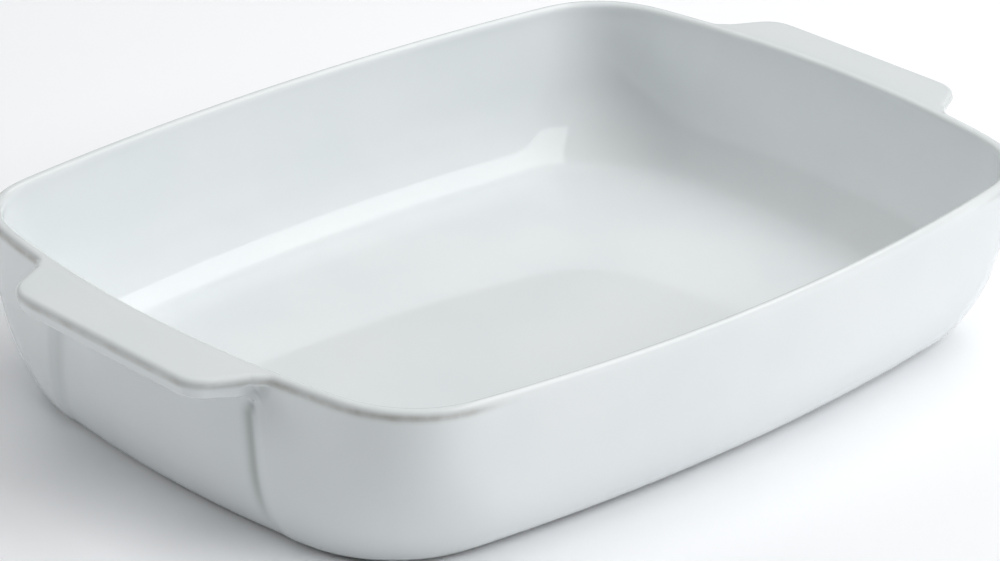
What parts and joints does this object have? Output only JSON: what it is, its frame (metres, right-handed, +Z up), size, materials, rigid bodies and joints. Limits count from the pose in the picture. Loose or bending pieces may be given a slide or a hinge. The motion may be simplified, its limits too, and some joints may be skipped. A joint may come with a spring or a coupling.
{
  "type": "lasagna dish",
  "caption": "Oblong glazed stoneware baking dish with bowed sides, soft lower curves, a thin rolled lip and a flat tab handle at each end over a shallow finger recess.",
  "frame": {"origin": "centre of the dish on the table plane, under the foot ring", "axes": "+X along the dish towards one handle, +Y across it, +Z up out of the dish"},
  "size_m": [0.38, 0.2502, 0.0655],
  "materials": {
    "white_glaze": "glossy cool white glaze, thinner and warmer where it runs over an edge",
    "bare_clay": "unglazed fired stoneware, wiped and slightly rough"
  },
  "bodies": {
    "root": {"dish_shell": "white_glaze", "left_handle": "white_glaze", "right_handle": "white_glaze", "foot_ring": "bare_clay"}
  },
  "joints": []
}
